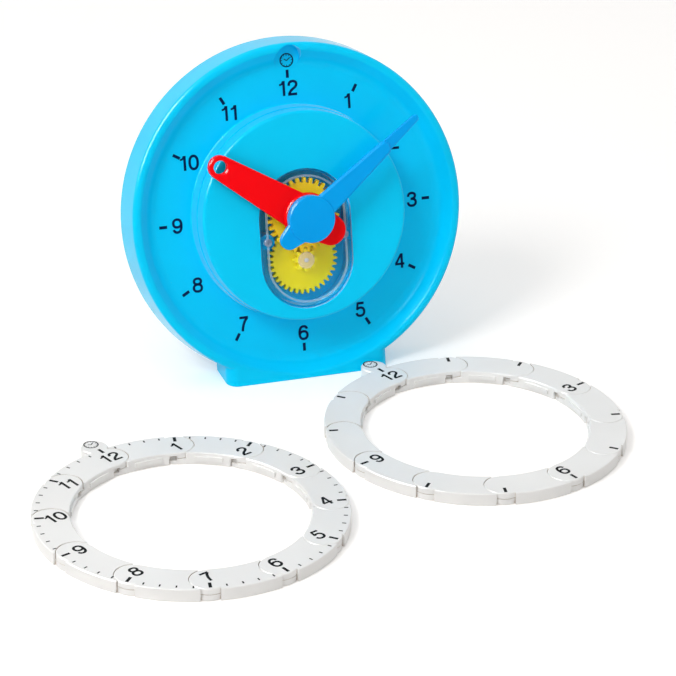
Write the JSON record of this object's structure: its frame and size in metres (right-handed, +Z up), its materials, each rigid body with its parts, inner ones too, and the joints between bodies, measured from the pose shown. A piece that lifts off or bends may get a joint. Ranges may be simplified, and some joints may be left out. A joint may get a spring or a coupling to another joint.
{
  "type": "geared teaching clock",
  "caption": "Round teaching clock on a leaning foot, with geared hands behind a window and two hinged number rings.",
  "frame": {"origin": "centre of the foot's flat underside, on the surface that the clock stands on", "axes": "+X to the right of someone facing the dial, +Y away from them, +Z up"},
  "size_m": [0.3997, 0.3441, 0.2159],
  "materials": {
    "case_blue": "gloss",
    "cover_blue": "satin",
    "window_clear": "gloss",
    "gear_yellow": "gloss",
    "hand_red": "gloss",
    "hand_blue": "gloss",
    "ring_white": "satin",
    "steel": "brushed",
    "bearing_white": "satin"
  },
  "bodies": {
    "case": {"front_case_rim": "case_blue", "front_case_dial": "case_blue", "front_case_disc": "case_blue", "rear_cover": "cover_blue", "case_screws": "steel", "window": "window_clear", "window_screws": "steel", "gear_plate": "cover_blue", "plate_screws": "steel", "arbor_bush": "bearing_white", "window_bush": "case_blue", "idler_pin": "steel", "idler_washer": "bearing_white"},
    "minute_train": {"minute_arbor": "steel", "retaining_clip": "steel", "friction_spring": "steel", "minute_pinion": "gear_yellow", "arbor_washer": "bearing_white", "minute_hand": "hand_blue"},
    "idler": {"idler_gear": "gear_yellow"},
    "hour_train": {"hour_wheel": "gear_yellow", "hour_hand": "hand_red"},
    "minute_link_01": {"minute_ring_link_01": "ring_white"},
    "minute_link_02": {"minute_ring_link_02": "ring_white"},
    "minute_link_05": {"minute_ring_link_05": "ring_white"},
    "minute_link_06": {"minute_ring_link_06": "ring_white"},
    "minute_link_07": {"minute_ring_link_07": "ring_white"},
    "minute_link_08": {"minute_ring_link_08": "ring_white"},
    "minute_link_09": {"minute_ring_link_09": "ring_white"},
    "minute_link_10": {"minute_ring_link_10": "ring_white"},
    "minute_link_11": {"minute_ring_link_11": "ring_white"},
    "minute_link_12": {"minute_ring_link_12": "ring_white"},
    "minute_links_3_and_4": {"minute_ring_link_03": "ring_white", "minute_ring_link_04": "ring_white"},
    "hour_link_01": {"hour_ring_link_01": "ring_white"},
    "hour_link_02": {"hour_ring_link_02": "ring_white"},
    "hour_link_03": {"hour_ring_link_03": "ring_white"},
    "hour_link_04": {"hour_ring_link_04": "ring_white"},
    "hour_link_05": {"hour_ring_link_05": "ring_white"},
    "hour_link_06": {"hour_ring_link_06": "ring_white"},
    "hour_link_07": {"hour_ring_link_07": "ring_white"},
    "hour_link_08": {"hour_ring_link_08": "ring_white"},
    "hour_links_9_to_12": {"hour_ring_link_09": "ring_white", "hour_ring_link_10": "ring_white", "hour_ring_link_11": "ring_white", "hour_ring_link_12": "ring_white"}
  },
  "joints": [
    {"name": "minute_turn", "type": "hinge", "parent": "case", "child": "minute_train", "pos_m": [0, 0.02151, 0.10528], "axis": [0, 0.9703, -0.2419], "continuous": true},
    {"name": "idler_turn", "type": "hinge", "parent": "case", "child": "idler", "pos_m": [0, 0.01425, 0.07617], "axis": [0, 0.9703, -0.2419], "continuous": true},
    {"name": "hour_turn", "type": "hinge", "parent": "case", "child": "hour_train", "pos_m": [0, 0.02151, 0.10528], "axis": [0, 0.9703, -0.2419], "continuous": true},
    {"name": "minute_ring_lift", "type": "slide", "parent": "case", "child": "minute_links_3_and_4", "axis": [0, 0, 1], "range_m": [0, 0.03]},
    {"name": "minute_ring_hinge_04", "type": "hinge", "parent": "minute_links_3_and_4", "child": "minute_link_05", "pos_m": [-0.04512, -0.19407, 0.004], "axis": [0, 0, 1], "range_deg": [0, 30]},
    {"name": "minute_ring_hinge_05", "type": "hinge", "parent": "minute_link_05", "child": "minute_link_06", "pos_m": [-0.06325, -0.23422, 0.004], "axis": [0, 0, 1], "range_deg": [0, 30]},
    {"name": "minute_ring_hinge_06", "type": "hinge", "parent": "minute_link_06", "child": "minute_link_07", "pos_m": [-0.09902, -0.25993, 0.004], "axis": [0, 0, 1], "range_deg": [0, 30]},
    {"name": "minute_ring_hinge_07", "type": "hinge", "parent": "minute_link_07", "child": "minute_link_08", "pos_m": [-0.14285, -0.2643, 0.004], "axis": [0, 0, 1], "range_deg": [0, 30]},
    {"name": "minute_ring_hinge_08", "type": "hinge", "parent": "minute_link_08", "child": "minute_link_09", "pos_m": [-0.183, -0.24618, 0.004], "axis": [0, 0, 1], "range_deg": [0, 30]},
    {"name": "minute_ring_hinge_09", "type": "hinge", "parent": "minute_link_09", "child": "minute_link_10", "pos_m": [-0.20871, -0.2104, 0.004], "axis": [0, 0, 1], "range_deg": [0, 30]},
    {"name": "minute_ring_hinge_10", "type": "hinge", "parent": "minute_link_10", "child": "minute_link_11", "pos_m": [-0.21308, -0.16657, 0.004], "axis": [0, 0, 1], "range_deg": [0, 30]},
    {"name": "minute_ring_hinge_11", "type": "hinge", "parent": "minute_link_11", "child": "minute_link_12", "pos_m": [-0.19495, -0.12642, 0.004], "axis": [0, 0, 1], "range_deg": [0, 30]},
    {"name": "minute_ring_hinge_02", "type": "hinge", "parent": "minute_links_3_and_4", "child": "minute_link_02", "pos_m": [-0.0752, -0.11447, 0.004], "axis": [0, 0, -1], "range_deg": [0, 30]},
    {"name": "minute_ring_hinge_01", "type": "hinge", "parent": "minute_link_02", "child": "minute_link_01", "pos_m": [-0.11535, -0.09634, 0.004], "axis": [0, 0, -1], "range_deg": [0, 30]},
    {"name": "hour_ring_lift", "type": "slide", "parent": "case", "child": "hour_links_9_to_12", "axis": [0, 0, 1], "range_m": [0, 0.03]},
    {"name": "hour_ring_hinge_08", "type": "hinge", "parent": "hour_links_9_to_12", "child": "hour_link_08", "pos_m": [0.0229, -0.18668, 0.004], "axis": [0, 0, -1], "range_deg": [0, 30]},
    {"name": "hour_ring_hinge_07", "type": "hinge", "parent": "hour_link_08", "child": "hour_link_07", "pos_m": [0.06305, -0.2048, 0.004], "axis": [0, 0, -1], "range_deg": [0, 30]},
    {"name": "hour_ring_hinge_06", "type": "hinge", "parent": "hour_link_07", "child": "hour_link_06", "pos_m": [0.10688, -0.20043, 0.004], "axis": [0, 0, -1], "range_deg": [0, 30]},
    {"name": "hour_ring_hinge_05", "type": "hinge", "parent": "hour_link_06", "child": "hour_link_05", "pos_m": [0.14265, -0.17472, 0.004], "axis": [0, 0, -1], "range_deg": [0, 30]},
    {"name": "hour_ring_hinge_04", "type": "hinge", "parent": "hour_link_05", "child": "hour_link_04", "pos_m": [0.16078, -0.13458, 0.004], "axis": [0, 0, -1], "range_deg": [0, 30]},
    {"name": "hour_ring_hinge_03", "type": "hinge", "parent": "hour_link_04", "child": "hour_link_03", "pos_m": [0.15641, -0.09074, 0.004], "axis": [0, 0, -1], "range_deg": [0, 30]},
    {"name": "hour_ring_hinge_02", "type": "hinge", "parent": "hour_link_03", "child": "hour_link_02", "pos_m": [0.1307, -0.05497, 0.004], "axis": [0, 0, -1], "range_deg": [0, 30]},
    {"name": "hour_ring_hinge_01", "type": "hinge", "parent": "hour_link_02", "child": "hour_link_01", "pos_m": [0.09055, -0.03684, 0.004], "axis": [0, 0, -1], "range_deg": [0, 30]}
  ],
  "couplings": [
    {"joint": "idler_turn", "follows": "minute_turn", "ratio": -0.33333},
    {"joint": "hour_turn", "follows": "minute_turn", "ratio": 0.083333},
    {"joint": "minute_ring_hinge_05", "follows": "minute_ring_hinge_04", "ratio": 1},
    {"joint": "minute_ring_hinge_06", "follows": "minute_ring_hinge_04", "ratio": 1},
    {"joint": "minute_ring_hinge_07", "follows": "minute_ring_hinge_04", "ratio": 1},
    {"joint": "minute_ring_hinge_08", "follows": "minute_ring_hinge_04", "ratio": 1},
    {"joint": "minute_ring_hinge_09", "follows": "minute_ring_hinge_04", "ratio": 1},
    {"joint": "minute_ring_hinge_10", "follows": "minute_ring_hinge_04", "ratio": 1},
    {"joint": "minute_ring_hinge_11", "follows": "minute_ring_hinge_04", "ratio": 1},
    {"joint": "minute_ring_hinge_02", "follows": "minute_ring_hinge_04", "ratio": 1},
    {"joint": "minute_ring_hinge_01", "follows": "minute_ring_hinge_04", "ratio": 1},
    {"joint": "hour_ring_hinge_07", "follows": "hour_ring_hinge_08", "ratio": 1},
    {"joint": "hour_ring_hinge_06", "follows": "hour_ring_hinge_08", "ratio": 1},
    {"joint": "hour_ring_hinge_05", "follows": "hour_ring_hinge_08", "ratio": 1},
    {"joint": "hour_ring_hinge_04", "follows": "hour_ring_hinge_08", "ratio": 1},
    {"joint": "hour_ring_hinge_03", "follows": "hour_ring_hinge_08", "ratio": 1},
    {"joint": "hour_ring_hinge_02", "follows": "hour_ring_hinge_08", "ratio": 1},
    {"joint": "hour_ring_hinge_01", "follows": "hour_ring_hinge_08", "ratio": 1}
  ]
}
